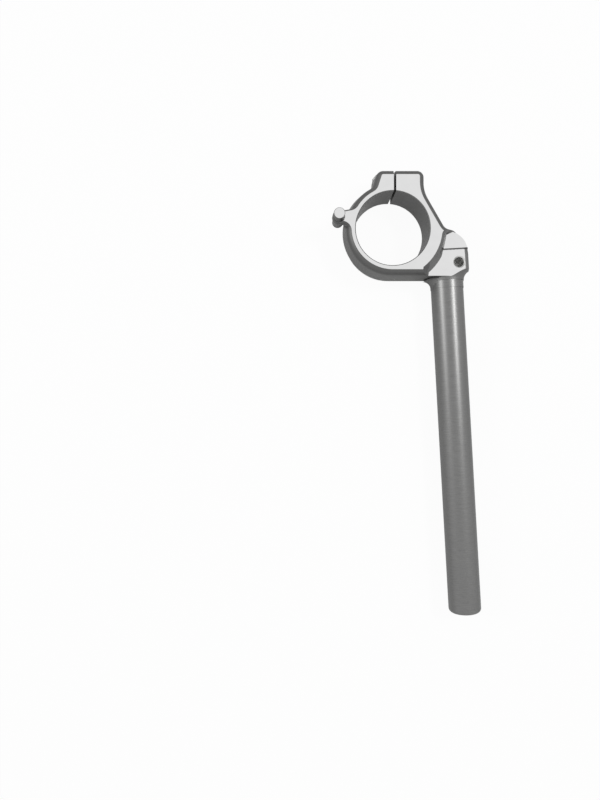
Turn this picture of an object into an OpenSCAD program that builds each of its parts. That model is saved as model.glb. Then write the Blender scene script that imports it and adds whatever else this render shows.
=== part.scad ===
// Clip-on motorcycle handlebar, cast and machined in one piece.
// The fork clamp stands on its underside: origin on the fork axis, +Z up along the fork,
// +Y towards the pinch slit, and the bar runs off towards -Y.

/* [Fork clamp] */
// Diameter of the fork tube that the clamp closes on
bore_d = 50; // [43:0.5:60]
// Wall of the ring at the parting plane
ring_wall = 7.9; // [7:0.1:10]
// Height of the clamp along the fork
clamp_h = 30; // [25:0.5:36]
// Chamfer at both ends of the fork bore
bore_chamfer = 0.5; // [0:0.1:1]

/* [Pinch ears] */
// Sideways distance of the pinch slit from the fork axis
slit_x = 1.4; // [0:0.1:3]
// Width of the pinch slit
slit_w = 1.6; // [1:0.1:3]
// Chamfer at the open mouth of the slit
slit_mouth = 0.8; // [0:0.1:1.5]
// Length of the short ear, which the bolt's head seats on
short_ear = 15.2; // [13:0.1:19]
// Length of the long ear, which is tapped
long_ear = 21; // [17:0.1:26]
// How far the ears stand out beyond the fork tube
ear_reach = 16.3; // [15:0.1:20]
// Rounding of the ears' outer corners, seen from above
ear_corner = 6.4; // [5.5:0.1:8]
// How much the short ear's flank leans in towards its top
ear_lean = 1.8; // [0:0.1:3]
// Radius of the long ear's flank, where it turns towards the boss
flank_r = 19; // [15:0.5:25]
// Where that flank starts, beyond the fork tube
flank_rise = 6.2; // [5:0.1:9]

/* [Pinch bolt] */
// Clearance hole through the short ear
bolt_clear_d = 9; // [7:0.1:9.5]
// Core of the tapped hole through the long ear
bolt_core_d = 6.7; // [5:0.1:7]
// Spot face under the bolt's head
spot_d = 13.4; // [11:0.1:16]
// Depth of the spot face
spot_depth = 2.2; // [1.5:0.1:3]

/* [Stop arm] */
// Distance of the stop pin from the wall of the bore
pin_reach = 12.2; // [11:0.1:16]
// Direction of the stop pin, measured from -X towards +Y
pin_angle = 11.8; // [5:0.1:20]
// Diameter of the stop pin
pin_d = 7.5; // [6:0.1:9]
// Height of the stop pin above the clamp's face
pin_h = 8.5; // [5:0.1:12]
// Chamfer at the top of the stop pin
pin_chamfer = 0.3; // [0:0.1:1]
// Fillet at the foot of the stop pin
pin_fillet = 0.5; // [0.3:0.1:0.8]
// Rim of the arm round the pin's foot
arm_rim = 0.6; // [0.5:0.1:2]
// Turn from the arm's middle to its upper fillet, round the fork axis
arm_spread = 20.5; // [17:0.5:24]
// Turn from the arm's middle to its lower fillet
arm_tuck = 14.8; // [14.5:0.1:20]
// Fillets between the arm and the ring, seen from above
arm_fillet_r = 5; // [3:0.1:6]
// Thickness of the arm, down from the clamp's face
arm_t = 8; // [6:0.5:14]
// Rounding along the arm's edges
arm_edge_r = 2.5; // [1.5:0.1:3]

/* [Boss] */
// Distance of the boss's centre from the wall of the bore
boss_reach = 14.5; // [12:0.1:18]
// Direction of the boss's centre, measured from +X towards -Y
boss_angle = 25.8; // [20:0.1:30]
// Radius of the boss's outer corner
boss_r = 19.2; // [16:0.1:21]
// Radius of the clamp's nose over the boss
nose_r = 12; // [10:0.1:14]
// Radius of the inner corner between the web and the boss
knee_r = 4; // [3:0.1:7]
// Place of that inner corner round the boss, from +X
knee_a = 80; // [70:1:86]
// Radius of the boss's corners beside the bar
corner_r = 6; // [5.5:0.1:8]
// How far the boss stands out beyond the bar on each side
boss_side = 4.7; // [3:0.1:6]
// Radius of the hollow that runs down from the boss to the bar's root
root_r = 7; // [5:0.1:9]
// Slope of the boss's end above that hollow, from square to the bar
root_slope = 15; // [5:1:30]
// Raised land of the clamp's face, beside the boss
land_w = 8.3; // [6.5:0.1:10]
// Drop from the clamp's face to the boss's upper face
upper_drop = 2.6; // [1.5:0.1:3.5]
// Drop from the boss's upper face to its lower face
step_drop = 2.4; // [1.5:0.1:3]
// Place of the step between the two faces, along the bar
step_at = 13.1; // [8:0.1:16]
// Slope of the step's wall, across its height
step_lean = 0.5; // [0.2:0.1:1]

/* [Boss thread] */
// Core of the tapped hole in the lower face
thread_core_d = 6.7; // [5:0.1:7]
// Chamfer round the tapped hole
thread_chamfer = 0.75; // [0.2:0.05:1]
// Depth of the tapped hole
thread_depth = 16; // [10:0.5:19]
// Place of the tapped hole along the bar, from the fork axis
thread_at = 22.1; // [20:0.1:24.5]
// Place of the tapped hole sideways from the bar's axis
thread_side = 6.6; // [3:0.1:7.5]

/* [Bar] */
// Outside diameter of the bar
bar_d = 22.2; // [22:0.1:25.4]
// Length of the turned bar, from its shoulder to its end
bar_len = 230.3; // [150:0.1:260]
// Distance of the bar's axis from the wall of the bore
bar_gap = 13; // [12:0.1:17]
// Height of the bar's axis above the clamp's underside
bar_z = 13; // [12.7:0.1:15]
// Sweep of the bar, away from square to the slit
bar_sweep = 3.2; // [0:0.1:8]
// Rounding of the bar's end
bar_end_r = 2.8; // [0.5:0.1:3]
// Diameter of the bore in the bar's end
end_bore_d = 16; // [12:0.1:16.5]
// Depth of the bore in the bar's end
end_bore_depth = 80; // [30:1:120]
// Chamfer at the mouth of the end bore
end_chamfer = 0.8; // [0.2:0.1:1.2]
// Distance of the shoulder where the turned bar starts, beyond the ring's outside
shoulder_gap = 0.5; // [0.2:0.1:3]
// Step at the shoulder
shoulder_step = 0.35; // [0.2:0.05:0.8]
// Length of the collar between the shoulder and the bar's grip
collar_len = 5; // [4:0.1:10]
// Step from the collar down to the grip
collar_step = 0.25; // [0.2:0.01:0.4]

/* [Casting] */
// Rounding along the casting's edges
edge_r = 4.8; // [4:0.1:5.5]
// Draft of the side walls, to each side of the parting plane
draft = 1.8; // [1:0.1:2.2]
// Metal that machining takes off each flat face
stock = 0.3; // [0.1:0.05:0.8]
// Fillet in the corner between the short ear and the ring, seen from above
web_fillet = 1.5; // [1:0.1:3]

/* [Hidden] */
metal = [0.72, 0.72, 0.73];
far = 90;
bore_r = bore_d / 2;
ring_r = bore_r + ring_wall;
land_r = bore_r + land_w;
ear_top = bore_r + ear_reach;
ear_left = slit_x - slit_w / 2 - short_ear;
ear_right = slit_x + slit_w / 2 + long_ear;
bolt_y = (bore_r + ear_top) / 2;
bolt_z = clamp_h / 2;
upper_z = clamp_h - upper_drop;
lower_z = upper_z - step_drop;
pin_r = pin_d / 2;
pin_x = -(bore_r + pin_reach) * cos(pin_angle);
pin_y = (bore_r + pin_reach) * sin(pin_angle);
arm_draft = draft / 6;
arm_ring_r = ring_r - draft - 1.7;
boss_x = (bore_r + boss_reach) * cos(boss_angle);
boss_y = -(bore_r + boss_reach) * sin(boss_angle);
bar_r = bar_d / 2;
bar_x = bore_r + bar_gap;
collar_r = bar_r + collar_step;
shoulder_s = ring_r + shoulder_gap;
grip_s = shoulder_s + collar_len;
boss_end_s = shoulder_s + edge_r + 1;
pad_inset = 1.3;
bar_end_s = shoulder_s + bar_len;
boss_half = bar_r + boss_side;

// A point that lies s along the bar and side to its outer side, seen from above
function beside_bar(s, side) = [
    bar_x + s * sin(bar_sweep) + side * cos(bar_sweep),
    -s * cos(bar_sweep) + side * sin(bar_sweep)
];

// Puts its children on the bar's axis, with their +Z running out along the bar
module on_bar() {
    translate([bar_x, 0, bar_z])
        rotate([0, 0, bar_sweep])
            rotate([90, 0, 0])
                children();
}

// Direction of the outward normal on the line that runs from round a to round b.
// A round is [x, y, r]: the outline bends out round it where r is positive, and in where it is negative.
function line_normal(a, b) =
    atan2(b[1] - a[1], b[0] - a[0]) - acos(min(1, (a[2] - b[2]) / norm([b[0] - a[0], b[1] - a[1]])));

// Length of that line, which is nothing where the two rounds touch
function line_length(a, b) = sqrt(max(0, pow(b[0] - a[0], 2) + pow(b[1] - a[1], 2) - pow(a[2] - b[2], 2)));

// Points of the outline that runs round the rounds anticlockwise, grown outwards by grow
function outline(rounds, grow, step) = [
    for (i = [0:len(rounds) - 1])
        let (
            n = len(rounds),
            c = rounds[i],
            a0 = line_normal(rounds[(i + n - 1) % n], c),
            a1 = line_normal(c, rounds[(i + 1) % n]),
            sweep = c[2] > 0 ? (a1 - a0 + 720) % 360 : -((a0 - a1 + 720) % 360),
            parts = max(1, ceil(abs(sweep) * pow(abs(c[2]), 0.4) / step))
        )
        for (k = [line_length(rounds[(i + n - 1) % n], c) < 0.05 ? 1 : 0:parts])
            let (a = a0 + sweep * k / parts)
            [c[0], c[1]] + (c[2] + grow) * [cos(a), sin(a)]
];

// Section of a raw casting that is h tall once it is faced, as [z, growth] pairs: edges rounded to r,
// and a draft of d from the parting plane
function casting_section(h, r, d) =
    let (edge = [for (a = [0:20:80]) [r * sin(a), r * (cos(a) - 1) - d]])
    concat(
        [for (i = [len(edge) - 1:-1:0]) [r - stock - edge[i][0], edge[i][1]]],
        [[h / 2, 0]],
        [for (e = edge) [h - r + stock + e[0], e[1]]]
    );

// A raw casting over an outline, for a height h once it is faced. Its whole outline is in sight of the point heart.
module casting(rounds, heart, h, step, r = edge_r, d = draft) {
    section = casting_section(h, r, d);
    rings = [for (row = section) [for (p = outline(rounds, row[1], step)) [p[0], p[1], row[0]]]];
    n = len(rings[0]);
    last = len(rings) - 1;
    low = n * len(rings);
    polyhedron(
        points = concat(
            [for (ring = rings) each ring],
            [[heart[0], heart[1], section[0][0]], [heart[0], heart[1], section[last][0]]]
        ),
        faces = concat(
            [for (i = [0:n - 1]) [low, i, (i + 1) % n]],
            [for (j = [0:last - 1]) for (i = [0:n - 1])
                let (a = j * n + i, b = j * n + (i + 1) % n)
                each [[a, a + n, b + n], [a, b + n, b]]],
            [for (i = [0:n - 1]) [low + 1, last * n + (i + 1) % n, last * n + i]]
        )
    );
}

// Rounds of the clamp, its ears and its web to the boss
clamp_rounds = [
    [boss_x + (boss_r - nose_r) * cos(knee_a), boss_y + (boss_r - nose_r) * sin(knee_a), nose_r],
    [boss_x + (boss_r + knee_r) * cos(knee_a), boss_y + (boss_r + knee_r) * sin(knee_a), -knee_r],
    [ear_right + flank_r, bore_r + flank_rise, -flank_r],
    [ear_right - ear_corner, ear_top - ear_corner, ear_corner],
    [ear_left + ear_lean + ear_corner, ear_top - ear_corner, ear_corner],
    [ear_left - web_fillet, sqrt(pow(ring_r + web_fillet, 2) - pow(ear_left - web_fillet, 2)), -web_fillet],
    [0, 0, ring_r],
    concat(beside_bar(ring_r - corner_r, bar_r - nose_r), corner_r)
];

// A fillet between the ring and the arm, turned from the arm's middle by a
function arm_fillet(a) =
    (arm_ring_r + arm_fillet_r) * [-cos(pin_angle + a), sin(pin_angle + a), 0] + [0, 0, -arm_fillet_r];

// Rounds of the arm that carries the stop pin
arm_rounds = [
    [0, 0, arm_ring_r],
    arm_fillet(arm_spread),
    [pin_x, pin_y, pin_r + arm_rim],
    arm_fillet(-arm_tuck)
];

// Rounds of the boss that carries the bar
boss_rounds = [
    [boss_x, boss_y, boss_r],
    [bore_r + corner_r, boss_y + nose_r, corner_r],
    concat(beside_bar(boss_end_s - corner_r, corner_r - boss_half), corner_r),
    concat(beside_bar(boss_end_s - corner_r, boss_half - corner_r), corner_r)
];

// The boss, hollowed down to the round shoulder where the turned bar starts
module boss_casting() {
    r = collar_r + shoulder_step;
    intersection() {
        casting(boss_rounds, [boss_x, boss_y], lower_z, 12);
        on_bar()
            rotate_extrude($fn = 96)
                difference() {
                    polygon([[0, -far], [far, -far], [far, shoulder_s - root_r - (far - r - root_r) * tan(root_slope)],
                        [r + root_r, shoulder_s - root_r], [r + root_r, shoulder_s], [0, shoulder_s]]);
                    translate([r + root_r, shoulder_s]) circle(r = root_r, $fn = 72);
                }
    }
}

// The arm that carries the stop pin, thinner than the clamp
module arm() {
    translate([0, 0, clamp_h - arm_t])
        casting(arm_rounds, [0.62 * pin_x, 0.7 * pin_y], arm_t, 12, arm_edge_r, arm_draft);
}

// The higher part of the boss, on the clamp's side of the step
module upper_pad() {
    intersection() {
        translate([0, 0, lower_z - edge_r])
            linear_extrude(height = upper_z - lower_z + edge_r)
                polygon(outline(boss_rounds, -draft - pad_inset, 12));
        on_bar()
            rotate([0, 90, 0])
                translate([0, 0, -far / 2])
                    linear_extrude(height = far)
                        polygon([
                            [-(upper_z - bar_z) - 1, -far],
                            [-(upper_z - bar_z) - 1, step_at],
                            [-(upper_z - bar_z), step_at],
                            [-(lower_z - bar_z), step_at + step_lean],
                            [0, step_at + step_lean],
                            [0, -far]
                        ]);
    }
}

// The hollow beside the raised land, with a 45 degree wall round the fork axis
module boss_pocket() {
    depth = clamp_h - lower_z;
    corner_tip = 1.5;
    corner_r = corner_tip + upper_drop;
    corner = (land_r + corner_r) * [cos(7), -sin(7)];
    exit = 25;
    difference() {
        intersection() {
            rotate_extrude($fn = 144)
                polygon([[land_r, clamp_h], [land_r + depth, lower_z], [far, lower_z], [far, clamp_h + edge_r],
                    [land_r, clamp_h + edge_r]]);
            slanted_side([land_r * cos(52), -land_r * sin(52)], -99, depth);
            slanted_side(corner + corner_r * [-sin(exit), cos(exit)], exit + 180, depth);
        }
        difference() {
            translate([0, 0, lower_z - 1])
                linear_extrude(height = depth + edge_r)
                    polygon([corner, [0, 0], [0, far], corner + far * [-sin(exit), cos(exit)]]);
            translate([corner[0], corner[1], clamp_h - corner_r])
                cylinder(r1 = 0, r2 = corner_r + edge_r, h = corner_r + edge_r, $fn = 72);
        }
    }
}

// All that lies to the left of a line through p in direction a, behind a 45 degree wall
module slanted_side(p, a, depth) {
    translate([p[0], p[1], clamp_h])
        rotate([0, 0, a])
            rotate([90, 0, 90])
                translate([0, 0, -far])
                    linear_extrude(height = 2 * far)
                        polygon([[0, 0], [depth, -depth], [far, -depth], [far, edge_r], [0, edge_r]]);
}

// What facing takes off the raw castings, below and above
module facing() {
    for (z = [-far, clamp_h])
        translate([-far, -far, z]) cube([2 * far, 2 * far, far]);
}

// The turned bar and its collar, solid to the root inside the boss
module bar() {
    start = shoulder_s - 12;
    on_bar()
        rotate_extrude($fn = 96)
            union() {
                translate([0, start]) square([collar_r, grip_s - start]);
                translate([0, start]) square([bar_r, bar_end_s - bar_end_r - start]);
                translate([0, start]) square([bar_r - bar_end_r, bar_end_s - start]);
                intersection() {
                    translate([bar_r - bar_end_r, bar_end_s - bar_end_r]) circle(r = bar_end_r, $fn = 48);
                    translate([0, start]) square([bar_r, bar_end_s - start]);
                }
            }
}

// The round stop pin that stands on the arm
module stop_pin() {
    top = clamp_h + pin_h;
    foot = pin_r + pin_fillet;
    translate([pin_x, pin_y, 0]) {
        rotate_extrude($fn = 72)
            polygon([[0, clamp_h / 2], [pin_r, clamp_h / 2], [pin_r, top - pin_chamfer],
                [pin_r - pin_chamfer, top], [0, top]]);
        rotate_extrude($fn = 72)
            difference() {
                translate([0, clamp_h - 0.1]) square([foot, pin_fillet + 0.1]);
                translate([foot, clamp_h + pin_fillet]) circle(r = pin_fillet, $fn = 48);
            }
    }
}

// The bore for the fork tube, chamfered at both ends
module fork_bore() {
    mouth = bore_r + bore_chamfer;
    translate([0, 0, -edge_r]) cylinder(r = bore_r, h = clamp_h + 2 * edge_r, $fn = 144);
    translate([0, 0, clamp_h - bore_chamfer]) cylinder(r1 = bore_r, r2 = mouth + edge_r, h = bore_chamfer + edge_r, $fn = 144);
    translate([0, 0, -edge_r]) cylinder(r1 = mouth + edge_r, r2 = bore_r, h = bore_chamfer + edge_r, $fn = 144);
}

// The sawn slit between the ears
module pinch_slit() {
    half = slit_w / 2;
    translate([slit_x, 0, -edge_r])
        linear_extrude(height = clamp_h + 2 * edge_r)
            polygon([
                [-half, bore_r - 2],
                [half, bore_r - 2],
                [half, ear_top - slit_mouth],
                [half + slit_mouth + 1, ear_top + 1],
                [-half - slit_mouth - 1, ear_top + 1],
                [-half, ear_top - slit_mouth]
            ]);
}

// The pinch bolt's clearance hole, spot face and tapped hole
module bolt_holes() {
    translate([slit_x, bolt_y, bolt_z])
        rotate([0, -90, 0])
            cylinder(d = bolt_clear_d, h = far, $fn = 72);
    translate([ear_left + spot_depth, bolt_y, bolt_z])
        rotate([0, -90, 0])
            cylinder(d = spot_d, h = far / 2, $fn = 72);
    translate([slit_x, bolt_y, bolt_z])
        rotate([0, 90, 0])
            cylinder(d = bolt_core_d, h = far, $fn = 72);
}

// The tapped hole in the boss's lower face
module boss_thread() {
    p = beside_bar(thread_at, thread_side);
    r = thread_core_d / 2;
    translate([p[0], p[1], lower_z - thread_depth]) cylinder(r = r, h = thread_depth + edge_r, $fn = 72);
    translate([p[0], p[1], lower_z - thread_chamfer])
        cylinder(r1 = r, r2 = r + 2 * thread_chamfer, h = 2 * thread_chamfer, $fn = 72);
}

// The bore in the bar's end
module end_bore() {
    r = end_bore_d / 2;
    on_bar() {
        translate([0, 0, bar_end_s - end_bore_depth]) cylinder(r = r, h = end_bore_depth + 1, $fn = 72);
        translate([0, 0, bar_end_s - end_chamfer]) cylinder(r1 = r, r2 = r + end_chamfer + 1, h = end_chamfer + 1, $fn = 72);
    }
}

module handlebar() {
    color(metal)
        difference() {
            union() {
                difference() {
                    union() {
                        casting(clamp_rounds, [0, 0], clamp_h, 14);
                        boss_casting();
                        arm();
                    }
                    facing();
                    boss_pocket();
                }
                upper_pad();
                bar();
                stop_pin();
            }
            fork_bore();
            pinch_slit();
            bolt_holes();
            boss_thread();
            end_bore();
        }
}

handlebar();
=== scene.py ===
"""Looks of the clip-on handlebar: one aluminium casting with milled faces and a turned bar."""

import math

import bmesh
import bpy
import numpy as np
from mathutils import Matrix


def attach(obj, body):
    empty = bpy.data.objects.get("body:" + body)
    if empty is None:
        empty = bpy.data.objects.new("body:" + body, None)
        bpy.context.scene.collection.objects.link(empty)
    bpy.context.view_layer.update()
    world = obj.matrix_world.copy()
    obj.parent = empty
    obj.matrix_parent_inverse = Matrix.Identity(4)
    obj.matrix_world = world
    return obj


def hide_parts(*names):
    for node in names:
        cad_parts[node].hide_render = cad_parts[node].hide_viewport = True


bl_info = {
    "name": "Clip-on Handlebar",
    "version": (1, 0, 0),
    "blender": (4, 5, 0),
    "location": "View3D > Sidebar > Handlebar",
    "description": "Finishes the cast clip-on handlebar and sets up its pale studio",
    "category": "Object",
}

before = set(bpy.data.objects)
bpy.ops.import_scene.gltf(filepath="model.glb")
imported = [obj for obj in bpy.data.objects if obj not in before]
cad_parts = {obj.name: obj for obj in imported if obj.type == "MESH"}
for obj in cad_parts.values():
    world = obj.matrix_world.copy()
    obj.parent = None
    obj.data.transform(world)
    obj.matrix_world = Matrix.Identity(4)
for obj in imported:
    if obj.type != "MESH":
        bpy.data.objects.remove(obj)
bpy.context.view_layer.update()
MM = 0.001

# Clamp in millimetres, with the fork axis at x = y = 0 and the underside at z = 0
BORE_R = 25.0
RING_R = 32.9
LAND_R = 33.3
PARTING_Z = 15.0
WALL_DRAFT = 0.17

# Pinch slit, and the pinch bolt that crosses it
SLIT_X = 1.4
BOLT_Y = 33.15
BOLT_Z = 15.0

# Lower face of the boss, and the tapped hole in it
BOSS_TOP = 25.0
BOSS_HOLE = (45.823, -21.697)

# Bar: s runs along its axis, from the point beside the fork axis
BAR_X = 38.0
BAR_Z = 13.0
BAR_R = 11.1
COLLAR_R = 11.35
BAR_SWEEP = math.radians(3.2)
SHOULDER_S = 33.4
BAR_END_S = 263.7
BAR_START = np.array([BAR_X, 0.0, BAR_Z])
ALONG = np.array([math.sin(BAR_SWEEP), -math.cos(BAR_SWEEP), 0.0])
ACROSS = np.array([math.cos(BAR_SWEEP), math.sin(BAR_SWEEP), 0.0])
UP = np.array([0.0, 0.0, 1.0])

# Limits that take in each machined surface, with its chamfers and its facets
BORE_LIMIT_R = BORE_R + 0.6
SLIT_LIMIT_X = 1.9
SLIT_START_Y = BORE_R - 1.0
BOLT_LIMIT_R = 6.75
BOLT_LIMITS_X = (-14.7, 23.3)
BOLT_OFF_SLIT = 0.85
BOSS_HOLE_LIMIT_R = 4.15
BOSS_HOLE_LIMITS_Z = (8.5, BOSS_TOP + 0.1)
TURNED_START_S = SHOULDER_S - 0.5
TURNED_LIMIT_R = BAR_R + 0.3
END_BORE_LIMIT_R = 9.0
END_BORE_LIMITS_S = (BAR_END_S - 85.0, BAR_END_S - 0.1)

# Share of a unit normal that tells which way a face looks: up or down, at 45 degrees as in the
# hollow beside the boss, towards the fork axis, or across the slit
FLAT_SHARE = 0.999
SLANT_SHARE = math.sqrt(0.5)
SLANT_ROOM = 0.01
FORK_SHARE = 0.3
SLIT_SHARE = 0.6

# Profile of the step on the boss, as (s along the bar, height): in the solid, and as it is milled
STEP_SOLID = ((12.0, 26.6), (14.4, 26.1), (15.4, 26.1), (15.4, 25.0))
STEP_MILLED = ((13.1, 27.4), (13.3, 26.4), (13.5, 25.5), (13.6, 25.0))

# Where the step's points lie, from the fork axis, along the bar and across it
STEP_OFF_FORK = LAND_R + 0.1
STEP_START_S = -20.0
FOOT_LIMIT = 13.4

# Length over which the upper face is drawn out, and room for a point of the profile to be off it
STEP_BLEND = 3.0
FOOT_ROOM = 0.05
LEVEL_ROOM = 0.02
PROFILE_ROOM = 0.03

# Root fillet: how far it goes round the bar to each side, its radius there and how it tapers
FILLET_REACH = math.radians(56)
FILLET_LEAST_R = 0.15
FILLET_TAPER = 0.6

# Its rim sits this deep in the metal and its corner deeper still, and this many points shape it
FILLET_SINK = 0.05
FILLET_HEEL = 0.6
FILLET_TURNS = 41
FILLET_STEPS = 15

# Points of the casting nearer than this, in metres, are one point
SAME_POINT = 2e-6

# Order of the finishes in the casting's material slots
CAST, MILLED, TURNED, BORED, DRILLED = range(5)

# Painted shade: the casting's rounded upper edge is painted darker, down to this share, between
# these heights, in metres
EDGE_START = 0.0246
EDGE_END = 0.0264
EDGE_SHADE = 0.72

# Middle in metres of the arcs that the face cutter leaves
CUTTER_MIDDLE = (-0.02, 0.11, 0.0)

# Studio in metres and watts: each softbox has a name, a place, a width and a depth, and a power
SOFTBOXES = (
    ("left softbox", (-1.35, 0.26, 1.0), (0.5, 0.5), 6.5),
    ("right softbox", (0.70, 0.22, 1.15), (0.34, 0.20), 5.5),
)
SOFTBOX_AIM = (0.02, -0.08, 0.0)
STUDIO_GREY = 0.5

# Camera: its place over the floor in metres, its film and its lens in millimetres
CAMERA_X = -0.0625
CAMERA_Y = -0.1157
FILM_HEIGHT = 36.0
LENS = 28.8585
NEAREST_SEEN = 0.01


class HandlebarFinish(bpy.types.PropertyGroup):
    """Colours and surface sizes of the casting."""

    cast_colour: bpy.props.FloatVectorProperty(
        name="Cast colour",
        description="Blasted skin of the casting",
        subtype="COLOR",
        size=3,
        min=0.0,
        max=1.0,
        default=(0.165, 0.165, 0.163),
    )
    milled_colour: bpy.props.FloatVectorProperty(
        name="Milled colour",
        description="Faces that the cutter has cleaned up",
        subtype="COLOR",
        size=3,
        min=0.0,
        max=1.0,
        default=(0.73, 0.73, 0.73),
    )
    turned_colour: bpy.props.FloatVectorProperty(
        name="Turned colour",
        description="Skin of the turned bar",
        subtype="COLOR",
        size=3,
        min=0.0,
        max=1.0,
        default=(0.180, 0.180, 0.178),
    )
    bored_colour: bpy.props.FloatVectorProperty(
        name="Bored colour",
        description="Wall of the fork bore and of the slit",
        subtype="COLOR",
        size=3,
        min=0.0,
        max=1.0,
        default=(0.170, 0.170, 0.168),
    )
    drilled_colour: bpy.props.FloatVectorProperty(
        name="Drilled colour",
        description="Walls of the drilled and tapped holes",
        subtype="COLOR",
        size=3,
        min=0.0,
        max=1.0,
        default=(0.62, 0.62, 0.61),
    )
    grain: bpy.props.FloatProperty(
        name="Grain",
        description="Size of the grain on the blasted skin",
        subtype="DISTANCE",
        unit="LENGTH",
        default=0.00045,
        min=0.0001,
        max=0.005,
    )
    turning_pitch: bpy.props.FloatProperty(
        name="Turning pitch",
        description="Distance between the turning marks along the bar",
        subtype="DISTANCE",
        unit="LENGTH",
        default=0.0004,
        min=0.0001,
        max=0.005,
    )
    root_fillet: bpy.props.FloatProperty(
        name="Root fillet",
        description="Radius of the fillet between the bar and the web",
        subtype="DISTANCE",
        unit="LENGTH",
        default=0.0055,
        min=0.001,
        max=0.007,
    )
    smooth_angle: bpy.props.FloatProperty(
        name="Smooth angle",
        description="Edges that turn by less than this are shaded smooth",
        subtype="ANGLE",
        default=math.radians(24),
        min=0.0,
        max=math.pi,
    )


class HandlebarStage(bpy.types.PropertyGroup):
    """Sizes and colours of the studio round the part."""

    floor_colour: bpy.props.FloatVectorProperty(
        name="Floor colour",
        description="Colour of the pale floor",
        subtype="COLOR",
        size=3,
        min=0.0,
        max=1.0,
        default=(0.85, 0.85, 0.85),
    )
    floor_size: bpy.props.FloatProperty(
        name="Floor size",
        description="Side of the square floor",
        subtype="DISTANCE",
        unit="LENGTH",
        default=6.0,
        min=1.0,
    )
    camera_height: bpy.props.FloatProperty(
        name="Camera height",
        description="Height of the camera over the floor",
        subtype="DISTANCE",
        unit="LENGTH",
        default=0.461,
        min=0.2,
    )


def vectors_of(items, name):
    """The named vector of each of a mesh's vertices or faces, one in a row."""
    values = np.empty(len(items) * 3, np.float32)
    items.foreach_get(name, values)
    return values.reshape(-1, 3).astype(float)


def beside_bar(points):
    """Splits points in millimetres into s along the bar's axis and r away from it."""
    off = points - BAR_START
    s = off @ ALONG
    r = np.linalg.norm(off - s[:, None] * ALONG, axis=1)
    return s, r


def between(values, limits):
    """Which of the values lie between the two limits."""
    return (values > limits[0]) & (values < limits[1])


def merge_doubles(mesh):
    """Joins the mesh's loose triangles into one closed skin."""
    work = bmesh.new()
    work.from_mesh(mesh)
    bmesh.ops.remove_doubles(work, verts=work.verts, dist=SAME_POINT)
    work.to_mesh(mesh)
    work.free()


def sharpen(mesh, angle):
    """Keeps an edge sharp where the finish changes or the skin turns by more than the angle."""
    work = bmesh.new()
    work.from_mesh(mesh)
    for edge in work.edges:
        faces = edge.link_faces
        same = len(faces) == 2 and faces[0].material_index == faces[1].material_index
        edge.smooth = same and edge.calc_face_angle() < angle
    work.to_mesh(mesh)
    work.free()


def mill_step(mesh):
    """Moves the step's points to its milled profile: a steep wall between the boss's flat faces."""
    points = vectors_of(mesh.vertices, "co") / MM
    x, y, z = points.T
    s, _ = beside_bar(points)
    across = (points - BAR_START) @ ACROSS
    on_boss = (np.hypot(x, y) > STEP_OFF_FORK) & (x > BORE_R) & (s > STEP_START_S)
    solid, milled = np.array(STEP_SOLID), np.array(STEP_MILLED)
    new_s, new_z = s.copy(), z.copy()

    # Upper face: raised, and drawn out towards the step's edge
    edge_s, edge_z = solid[0]
    top = on_boss & (np.abs(z - edge_z) < LEVEL_ROOM) & (s < edge_s)
    new_z[top] = milled[0][1]
    blend = np.clip((s[top] - edge_s + STEP_BLEND) / STEP_BLEND, 0.0, 1.0)
    new_s[top] += blend * (milled[0][0] - edge_s)

    # Foot of the step: the lower face's edge is drawn back to it
    foot_s, foot_z = solid[-1]
    foot = on_boss & (np.abs(z - foot_z) < LEVEL_ROOM) & (across < FOOT_LIMIT)
    foot &= between(s, (milled[-1][0], foot_s + FOOT_ROOM))
    new_s[foot] = milled[-1][0]

    # Wall: each stretch of the solid's profile is carried to the same stretch of the milled one
    for a, b, c, d in zip(solid, solid[1:], milled, milled[1:]):
        at = np.stack([s, z], axis=1) - a
        share = np.clip(at @ (b - a) / ((b - a) @ (b - a)), 0.0, 1.0)
        off = np.linalg.norm(at - share[:, None] * (b - a), axis=1)
        wall = on_boss & (off < PROFILE_ROOM)
        new_s[wall], new_z[wall] = (c + share[wall][:, None] * (d - c)).T

    points += (new_s - s)[:, None] * ALONG
    points[:, 2] = new_z
    mesh.vertices.foreach_set("co", (points * MM).astype(np.float32).ravel())
    mesh.update()


def finish_of_faces(mesh):
    """Finish of each face, from its middle, its normal and the machined surface that it lies on."""
    middle = vectors_of(mesh.polygons, "center") / MM
    normal = vectors_of(mesh.polygons, "normal")
    x, y, z = middle.T
    facing_x, facing_y, facing_z = normal.T
    finish = np.full(len(middle), CAST, np.int32)

    finish[np.abs(facing_z) > FLAT_SHARE] = MILLED
    slanted = np.abs(facing_z - SLANT_SHARE) < SLANT_ROOM
    finish[slanted & (x > BORE_R) & (z > BOSS_TOP)] = BORED

    fork_r = np.hypot(x, y)
    inside = x * facing_x + y * facing_y < -FORK_SHARE * fork_r
    finish[(fork_r < BORE_LIMIT_R) & inside] = BORED
    off_slit = np.abs(x - SLIT_X)
    sideways = np.abs(facing_x) > SLIT_SHARE
    finish[(off_slit < SLIT_LIMIT_X) & (y > SLIT_START_Y) & sideways] = BORED

    s, r = beside_bar(middle)
    finish[(s > TURNED_START_S) & (r < TURNED_LIMIT_R)] = TURNED
    finish[(r < END_BORE_LIMIT_R) & between(s, END_BORE_LIMITS_S)] = DRILLED

    hole_r = np.hypot(x - BOSS_HOLE[0], y - BOSS_HOLE[1])
    finish[(hole_r < BOSS_HOLE_LIMIT_R) & between(z, BOSS_HOLE_LIMITS_Z)] = DRILLED
    bolt_r = np.hypot(y - BOLT_Y, z - BOLT_Z)
    bolt_holes = (bolt_r < BOLT_LIMIT_R) & between(x, BOLT_LIMITS_X)
    finish[bolt_holes & (off_slit > BOLT_OFF_SLIT)] = DRILLED
    return finish


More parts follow.
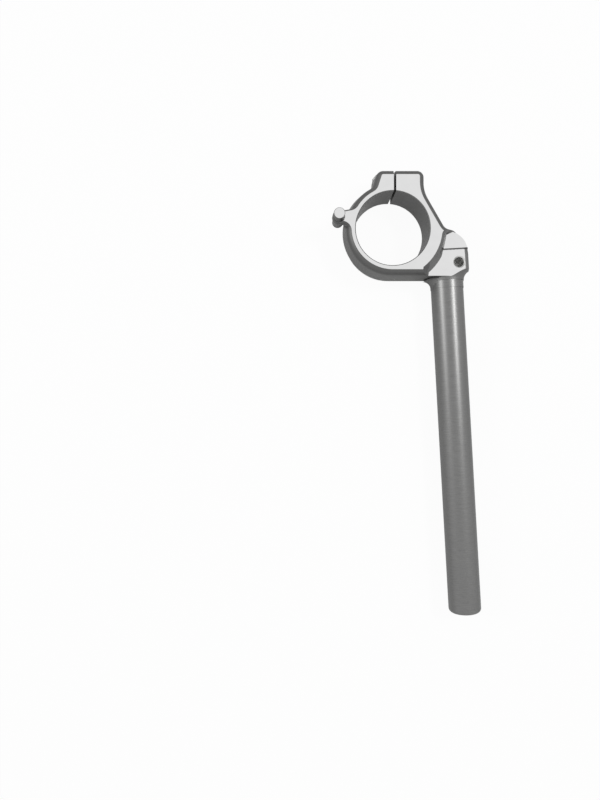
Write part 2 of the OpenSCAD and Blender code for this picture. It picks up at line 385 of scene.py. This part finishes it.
def root_fillet_points(radius):
    """Closed rings of the fillet in the corner between the bar and the web, in millimetres.

    There is one ring for each turn round the bar. Its last point is buried in the metal.
    """
    rings = []
    for turn in np.linspace(-FILLET_REACH, FILLET_REACH, FILLET_TURNS):
        taper = math.cos(turn / FILLET_REACH * math.pi / 2) ** FILLET_TAPER
        size = FILLET_LEAST_R + (radius - FILLET_LEAST_R) * taper
        level = (COLLAR_R + size) * math.sin(turn)
        wall = RING_R - WALL_DRAFT * abs(level + BAR_Z - PARTING_Z) - FILLET_SINK
        bar = COLLAR_R - FILLET_SINK
        arc = np.linspace(0.0, math.pi / 2, FILLET_STEPS)
        out = np.append(bar + size * (1.0 - np.sin(arc)), bar - FILLET_HEEL)
        run = np.append(wall + size * (1.0 - np.cos(arc)), wall - FILLET_HEEL)
        away = math.sin(turn) * UP - math.cos(turn) * ACROSS
        rings.append(run[:, None] * ALONG + out[:, None] * away)
    return np.array(rings) + BAR_START


def closed_rings(name, rings):
    """A closed mesh over rings of points, with a fan of faces over each end."""
    count, steps, _ = rings.shape
    faces = []
    for ring in range(count - 1):
        for step in range(steps):
            a = ring * steps + step
            b = ring * steps + (step + 1) % steps
            faces.append((a, b, b + steps, a + steps))
    faces.append(tuple(reversed(range(steps))))
    faces.append(tuple(range((count - 1) * steps, count * steps)))
    mesh = bpy.data.meshes.new(name)
    mesh.from_pydata((rings.reshape(-1, 3) * MM).tolist(), [], faces)
    work = bmesh.new()
    work.from_mesh(mesh)
    bmesh.ops.recalc_face_normals(work, faces=work.faces)
    work.to_mesh(mesh)
    work.free()
    mesh.shade_smooth()
    return mesh


def add_node(tree, kind, **values):
    """A node of that kind, with its named inputs and properties set."""
    node = tree.nodes.new(kind)
    for key, value in values.items():
        if key in node.inputs:
            node.inputs[key].default_value = value
        else:
            setattr(node, key, value)
    return node


def new_metal(name, colour, roughness):
    """A bare metal with a plain colour and roughness, which patterns may replace.

    Returns the material, its tree and its shader.
    """
    material = bpy.data.materials.new(name)
    material.use_nodes = True
    tree = material.node_tree
    shader = tree.nodes["Principled BSDF"]
    shader.inputs["Base Color"].default_value = (*colour, 1.0)
    shader.inputs["Metallic"].default_value = 1.0
    shader.inputs["Roughness"].default_value = roughness
    material.diffuse_color = (*colour, 1.0)
    return material, tree, shader


def object_point(tree, rotation=(0.0, 0.0, 0.0), location=(0.0, 0.0, 0.0)):
    """Object coordinates, moved and turned to suit a pattern."""
    source = tree.nodes.new("ShaderNodeTexCoord")
    mapping = add_node(tree, "ShaderNodeMapping", vector_type="TEXTURE")
    mapping.inputs["Rotation"].default_value = rotation
    mapping.inputs["Location"].default_value = location
    tree.links.new(source.outputs["Object"], mapping.inputs["Vector"])
    return mapping.outputs["Vector"]


def noise(tree, point, scale, detail, roughness):
    """Noise with that many cells per metre."""
    node = add_node(tree, "ShaderNodeTexNoise", Scale=scale, Detail=detail, Roughness=roughness)
    tree.links.new(point, node.inputs["Vector"])
    return node.outputs["Fac"]


def drawn_out(tree, point, cells):
    """Noise drawn out into lines, with that many cells per metre along each axis."""
    node = add_node(tree, "ShaderNodeVectorMath", operation="MULTIPLY")
    node.inputs[1].default_value = cells
    tree.links.new(point, node.inputs[0])
    return noise(tree, node.outputs["Vector"], scale=1.0, detail=2.0, roughness=0.6)


def spread(tree, value, low, high, source_low=0.3, source_high=0.7):
    """A pattern's value carried from one range to another."""
    node = add_node(tree, "ShaderNodeMapRange")
    node.inputs["From Min"].default_value = source_low
    node.inputs["From Max"].default_value = source_high
    node.inputs["To Min"].default_value = low
    node.inputs["To Max"].default_value = high
    tree.links.new(value, node.inputs["Value"])
    return node.outputs["Result"]


def tint(tree, shader, colour, amount):
    """The shader's base colour, made lighter and darker by a pattern that runs round 1."""
    node = add_node(tree, "ShaderNodeVectorMath", operation="SCALE")
    node.inputs[0].default_value = colour
    tree.links.new(amount, node.inputs["Scale"])
    tree.links.new(node.outputs["Vector"], shader.inputs["Base Color"])


def bump(tree, shader, height, distance):
    """Relief of that depth, in metres."""
    node = add_node(tree, "ShaderNodeBump", Strength=1.0, Distance=distance)
    tree.links.new(height, node.inputs["Height"])
    tree.links.new(node.outputs["Normal"], shader.inputs["Normal"])


def mix_values(tree, a, b, factor):
    """A mix of two patterns."""
    node = add_node(tree, "ShaderNodeMix", data_type="FLOAT")
    node.inputs[0].default_value = factor
    tree.links.new(a, node.inputs[2])
    tree.links.new(b, node.inputs[3])
    return node.outputs[0]


def cast_skin(finish):
    """Blasted casting: a fine even grain, faint patches, and painted shade that darkens the rounded
    upper edge.
    """
    material, tree, shader = new_metal("cast skin", finish.cast_colour, roughness=0.46)
    point = object_point(tree)
    grain = noise(tree, point, scale=1.0 / finish.grain, detail=3.0, roughness=0.65)
    patches = noise(tree, point, scale=70.0, detail=3.0, roughness=0.6)
    fine = spread(tree, grain, low=0.84, high=1.16)
    broad = spread(tree, patches, low=0.93, high=1.07)
    tone = mix_values(tree, fine, broad, factor=0.4)
    # Painted shade: the base colour is darkened with height over the rounded upper edge, where the
    # walls would fall into shade
    place = tree.nodes.new("ShaderNodeSeparateXYZ")
    tree.links.new(point, place.inputs["Vector"])
    painted_shade = spread(tree, place.outputs["Z"], 1.0, EDGE_SHADE, EDGE_START, EDGE_END)
    edge = add_node(tree, "ShaderNodeMath", operation="MULTIPLY")
    tree.links.new(tone, edge.inputs[0])
    tree.links.new(painted_shade, edge.inputs[1])
    tint(tree, shader, finish.cast_colour, edge.outputs["Value"])
    tree.links.new(spread(tree, patches, low=0.42, high=0.52), shader.inputs["Roughness"])
    bump(tree, shader, grain, distance=0.00006)
    return material


def milled_face(finish):
    """Milled face: bright, with the faint arcs that a face cutter leaves."""
    material, tree, shader = new_metal("milled face", finish.milled_colour, roughness=0.08)
    point = object_point(tree, location=CUTTER_MIDDLE)
    arcs = add_node(
        tree,
        "ShaderNodeTexWave",
        wave_type="RINGS",
        rings_direction="Z",
        Scale=330.0,
        Distortion=0.6,
        Detail=2.0,
    )
    arcs.inputs["Detail Scale"].default_value = 30.0
    tree.links.new(point, arcs.inputs["Vector"])
    haze = noise(tree, object_point(tree), scale=160.0, detail=3.0, roughness=0.6)
    tree.links.new(spread(tree, haze, low=0.07, high=0.09), shader.inputs["Roughness"])
    tint(tree, shader, finish.milled_colour, spread(tree, haze, low=0.985, high=1.015))
    bump(tree, shader, arcs.outputs["Fac"], distance=0.000004)
    return material


def turned_bar(finish):
    """Turned and brushed bar: fine marks round it, at the turning pitch."""
    material, tree, shader = new_metal("turned bar", finish.turned_colour, roughness=0.37)
    point = object_point(tree, rotation=(0.0, 0.0, BAR_SWEEP))
    lines = drawn_out(tree, point, cells=(180.0, 1.0 / finish.turning_pitch, 180.0))
    grain = noise(tree, object_point(tree), scale=2600.0, detail=2.0, roughness=0.6)
    both = mix_values(tree, lines, grain, factor=0.55)
    tint(tree, shader, finish.turned_colour, spread(tree, both, low=0.80, high=1.20))
    tree.links.new(spread(tree, both, low=0.33, high=0.41), shader.inputs["Roughness"])
    bump(tree, shader, both, distance=0.00002)
    return material


def bored_wall(finish):
    """Bored wall: tool marks run level round the bore."""
    material, tree, shader = new_metal("bored wall", finish.bored_colour, roughness=0.42)
    lines = drawn_out(tree, object_point(tree), cells=(120.0, 120.0, 4200.0))
    tint(tree, shader, finish.bored_colour, spread(tree, lines, low=0.9, high=1.1))
    bump(tree, shader, lines, distance=0.00001)
    return material


def drilled_wall(finish):
    """Drilled and tapped walls, with a fine grain."""
    material, tree, shader = new_metal("drilled wall", finish.drilled_colour, roughness=0.5)
    grain = noise(tree, object_point(tree), scale=1500.0, detail=2.0, roughness=0.5)
    tint(tree, shader, finish.drilled_colour, spread(tree, grain, low=0.85, high=1.1))
    return material


def shown_white(tree, surface, camera_share, mirror_share):
    """Shows white in place of a share of the surface.

    One share is what the camera sees, also through glass, and the other is what a mirror sees.
    """
    path = tree.nodes.new("ShaderNodeLightPath")
    seen = None
    for output, share in (
        ("Is Camera Ray", camera_share),
        ("Is Glossy Ray", mirror_share),
        ("Is Transmission Ray", camera_share),
    ):
        part = add_node(tree, "ShaderNodeMath", operation="MULTIPLY")
        part.inputs[1].default_value = share
        tree.links.new(path.outputs[output], part.inputs[0])
        if seen is None:
            seen = part.outputs["Value"]
            continue
        node = add_node(tree, "ShaderNodeMath", operation="MAXIMUM")
        tree.links.new(seen, node.inputs[0])
        tree.links.new(part.outputs["Value"], node.inputs[1])
        seen = node.outputs["Value"]
    white = add_node(tree, "ShaderNodeEmission", Color=(1.0, 1.0, 1.0, 1.0), Strength=1.0)
    mix = tree.nodes.new("ShaderNodeMixShader")
    tree.links.new(seen, mix.inputs["Fac"])
    tree.links.new(surface, mix.inputs[1])
    tree.links.new(white.outputs["Emission"], mix.inputs[2])
    return mix.outputs["Shader"]


def area_lamp(context, name, place, target, size, power):
    """A soft rectangular lamp at place, aimed at target, with its width and its depth."""
    data = bpy.data.lights.new(name, "AREA")
    data.shape = "RECTANGLE"
    data.size, data.size_y = size
    data.energy = power
    lamp = bpy.data.objects.new(name, data)
    lamp.location = place
    aim = np.array(target, float) - np.array(place, float)
    distance = float(np.linalg.norm(aim))
    tilt = math.acos(-aim[2] / distance)
    turn = math.atan2(aim[1], aim[0]) - math.pi / 2
    lamp.rotation_euler = (tilt, 0.0, turn)
    context.scene.collection.objects.link(lamp)


def make_floor(context, stage):
    """A pale matt floor that shows almost white. Returns the floor."""
    half = stage.floor_size / 2
    mesh = bpy.data.meshes.new("floor")
    corners = [(-half, -half, 0.0), (half, -half, 0.0), (half, half, 0.0), (-half, half, 0.0)]
    mesh.from_pydata(corners, [], [(0, 1, 2, 3)])
    floor = bpy.data.objects.new("floor", mesh)
    context.scene.collection.objects.link(floor)
    material = bpy.data.materials.new("pale floor")
    material.use_nodes = True
    tree = material.node_tree
    shader = tree.nodes["Principled BSDF"]
    shader.inputs["Base Color"].default_value = (*stage.floor_colour, 1.0)
    shader.inputs["Roughness"].default_value = 1.0
    shader.inputs["Specular IOR Level"].default_value = 0.0
    surface = shown_white(tree, shader.outputs["BSDF"], camera_share=0.95, mirror_share=0.3)
    tree.links.new(surface, tree.nodes["Material Output"].inputs["Surface"])
    mesh.materials.append(material)
    return floor


def light_studio(context):
    """Lights the part with an even grey that shows white, and with the softboxes."""
    world = bpy.data.worlds.new("studio")
    world.use_nodes = True
    tree = world.node_tree
    light = tree.nodes["Background"]
    light.inputs["Color"].default_value = (STUDIO_GREY, STUDIO_GREY, STUDIO_GREY, 1.0)
    light.inputs["Strength"].default_value = 1.0
    surface = shown_white(tree, light.outputs["Background"], camera_share=1.0, mirror_share=1.0)
    tree.links.new(surface, tree.nodes["World Output"].inputs["Surface"])
    context.scene.world = world
    for name, place, size, power in SOFTBOXES:
        area_lamp(context, name, place, SOFTBOX_AIM, size, power)


def place_camera(context, height):
    """A camera at that height that looks straight down."""
    data = bpy.data.cameras.new("camera")
    data.sensor_fit = "VERTICAL"
    data.sensor_height = FILM_HEIGHT
    data.lens = LENS
    data.clip_start = NEAREST_SEEN
    camera = bpy.data.objects.new("camera", data)
    camera.location = (CAMERA_X, CAMERA_Y, height)
    context.scene.collection.objects.link(camera)
    context.scene.camera = camera


class HANDLEBAR_OT_casting(bpy.types.Operator):
    """Make the visible casting from the handlebar's solid and finish each of its surfaces"""

    bl_idname = "handlebar.casting"
    bl_label = "Casting"

    def execute(self, context):
        finish = context.scene.handlebar_finish
        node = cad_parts["handlebar"]
        mesh = node.data.copy()
        mesh.name = "casting"
        piece = bpy.data.objects.new("casting", mesh)
        context.scene.collection.objects.link(piece)

        merge_doubles(mesh)
        mill_step(mesh)
        mesh.shade_smooth()
        mesh.materials.clear()
        for make in (cast_skin, milled_face, turned_bar, bored_wall, drilled_wall):
            mesh.materials.append(make(finish))
        mesh.polygons.foreach_set("material_index", finish_of_faces(mesh))
        sharpen(mesh, finish.smooth_angle)
        mesh.update()

        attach(piece, "root")
        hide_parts("handlebar")
        return {"FINISHED"}


class HANDLEBAR_OT_root_fillet(bpy.types.Operator):
    """Make the cast fillet in the corner between the bar and the web"""

    bl_idname = "handlebar.root_fillet"
    bl_label = "Root fillet"

    def execute(self, context):
        finish = context.scene.handlebar_finish
        mesh = closed_rings("root_fillet", root_fillet_points(finish.root_fillet / MM))
        mesh.materials.append(bpy.data.materials.get("cast skin") or cast_skin(finish))
        piece = bpy.data.objects.new("root_fillet", mesh)
        context.scene.collection.objects.link(piece)
        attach(piece, "root")
        return {"FINISHED"}


class HANDLEBAR_OT_stage(bpy.types.Operator):
    """Set up the pale floor, the soft lamps and the camera that looks straight down"""

    bl_idname = "handlebar.stage"
    bl_label = "Stage"

    def execute(self, context):
        stage = context.scene.handlebar_stage
        context.scene.view_settings.view_transform = "Standard"
        floor = make_floor(context, stage)
        light_studio(context)
        place_camera(context, stage.camera_height)
        return {"FINISHED"}


class HANDLEBAR_PT_panel(bpy.types.Panel):
    """Buttons that make the casting and its stage"""

    bl_label = "Clip-on handlebar"
    bl_idname = "HANDLEBAR_PT_panel"
    bl_space_type = "VIEW_3D"
    bl_region_type = "UI"
    bl_category = "Handlebar"

    def draw(self, context):
        column = self.layout.column()
        for name in HandlebarFinish.__annotations__:
            column.prop(context.scene.handlebar_finish, name)
        column.operator(HANDLEBAR_OT_casting.bl_idname)
        column.operator(HANDLEBAR_OT_root_fillet.bl_idname)
        for name in HandlebarStage.__annotations__:
            column.prop(context.scene.handlebar_stage, name)
        column.operator(HANDLEBAR_OT_stage.bl_idname)


CLASSES = (
    HandlebarFinish,
    HandlebarStage,
    HANDLEBAR_OT_casting,
    HANDLEBAR_OT_root_fillet,
    HANDLEBAR_OT_stage,
    HANDLEBAR_PT_panel,
)


def register():
    """Registers the classes and hangs their settings on the scene."""
    for cls in CLASSES:
        bpy.utils.register_class(cls)
    bpy.types.Scene.handlebar_finish = bpy.props.PointerProperty(type=HandlebarFinish)
    bpy.types.Scene.handlebar_stage = bpy.props.PointerProperty(type=HandlebarStage)


def unregister():
    """Takes away what register added."""
    del bpy.types.Scene.handlebar_stage
    del bpy.types.Scene.handlebar_finish
    for cls in reversed(CLASSES):
        bpy.utils.unregister_class(cls)


def main():
    """Makes everything in order."""
    register()
    bpy.ops.handlebar.casting()
    bpy.ops.handlebar.root_fillet()
    bpy.ops.handlebar.stage()


if __name__ == "__main__":
    main()
